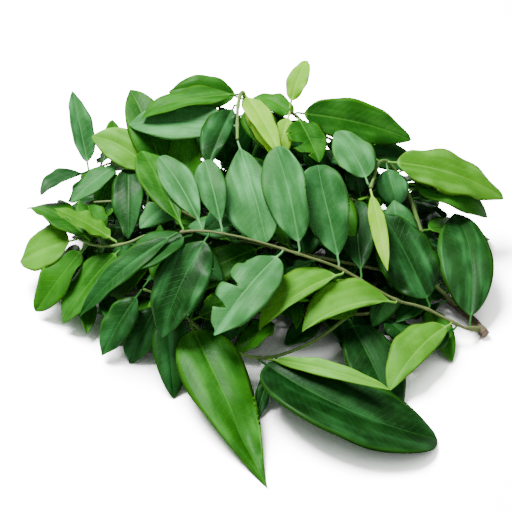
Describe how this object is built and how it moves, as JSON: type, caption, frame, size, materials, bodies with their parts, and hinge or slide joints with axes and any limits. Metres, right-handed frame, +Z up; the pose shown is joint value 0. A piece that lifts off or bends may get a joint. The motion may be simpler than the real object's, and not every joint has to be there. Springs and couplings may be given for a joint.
{
  "type": "curry leaf sprig",
  "caption": "Cut leafy curry shoot lying on its side: a short woody stem with pinnate leaves of glossy, pointed green leaflets heaped round it.",
  "frame": {"origin": "under the middle of the bounding box, on the surface the sprig lies on", "axes": "+X towards the cut end of the woody stem, +Y to the back of the heap, +Z up"},
  "size_m": [0.2174, 0.193, 0.0743],
  "materials": {
    "leaf_deep": "glossy dark green, mature leaflet",
    "leaf_mature": "satin mid green leaflet",
    "leaf_sage": "pale bluish green leaflet with a waxy sheen",
    "leaf_fresh": "light yellow-green leaflet, lets light through",
    "leaf_young": "pale yellow-green young leaflet, lets light through",
    "rachis_bark": "dull tan to green leaf stalk",
    "stem_bark": "rough brown bark with a pale cut end"
  },
  "bodies": {
    "root": {"woody_stem": "stem_bark", "front_leaf_rachis": "rachis_bark", "front_leaf_leaflet_01": "leaf_deep", "front_leaf_leaflet_02": "leaf_deep", "front_leaf_leaflet_03": "leaf_fresh", "front_leaf_leaflet_04": "leaf_deep", "front_leaf_leaflet_05": "leaf_fresh", "front_leaf_leaflet_06": "leaf_deep", "front_leaf_leaflet_07": "leaf_sage", "front_leaf_leaflet_08": "leaf_fresh", "front_leaf_leaflet_09": "leaf_sage", "front_leaf_leaflet_10": "leaf_sage", "front_leaf_leaflet_11": "leaf_sage", "front_leaf_leaflet_12": "leaf_deep", "front_leaf_leaflet_13": "leaf_sage", "front_leaf_leaflet_14": "leaf_deep", "front_leaf_leaflet_15": "leaf_mature", "front_leaf_leaflet_16": "leaf_deep", "top_leaf_rachis": "rachis_bark", "top_leaf_leaflet_01": "leaf_mature", "top_leaf_leaflet_02": "leaf_mature", "top_leaf_leaflet_03": "leaf_young", "top_leaf_leaflet_04": "leaf_mature", "top_leaf_leaflet_05": "leaf_deep", "top_leaf_leaflet_06": "leaf_sage", "top_leaf_leaflet_07": "leaf_sage", "back_leaf_rachis": "rachis_bark", "back_leaf_leaflet_01": "leaf_mature", "back_leaf_leaflet_02": "leaf_deep", "back_leaf_leaflet_03": "leaf_mature", "back_leaf_leaflet_04": "leaf_mature", "back_leaf_leaflet_05": "leaf_young", "right_leaf_rachis": "rachis_bark", "right_leaf_leaflet_01": "leaf_mature", "right_leaf_leaflet_02": "leaf_mature", "right_leaf_leaflet_03": "leaf_fresh", "right_leaf_leaflet_04": "leaf_sage", "right_leaf_leaflet_05": "leaf_young", "upper_left_leaf_rachis": "rachis_bark", "upper_left_leaf_leaflet_01": "leaf_mature", "upper_left_leaf_leaflet_02": "leaf_mature", "upper_left_leaf_leaflet_03": "leaf_fresh", "upper_left_leaf_leaflet_04": "leaf_deep", "upper_left_leaf_leaflet_05": "leaf_sage", "upper_left_leaf_leaflet_06": "leaf_sage", "left_leaf_rachis": "rachis_bark", "left_leaf_leaflet_01": "leaf_mature", "left_leaf_leaflet_02": "leaf_mature", "left_leaf_leaflet_03": "leaf_fresh", "left_leaf_leaflet_04": "leaf_mature", "left_leaf_leaflet_05": "leaf_mature", "left_leaf_leaflet_06": "leaf_mature", "left_leaf_leaflet_07": "leaf_fresh", "low_front_leaf_rachis": "rachis_bark", "low_front_leaf_leaflet_01": "leaf_deep", "low_front_leaf_leaflet_02": "leaf_deep", "low_front_leaf_leaflet_03": "leaf_fresh", "low_front_leaf_leaflet_04": "leaf_mature", "low_front_leaf_leaflet_05": "leaf_deep", "low_front_leaf_leaflet_06": "leaf_deep"}
  },
  "joints": []
}
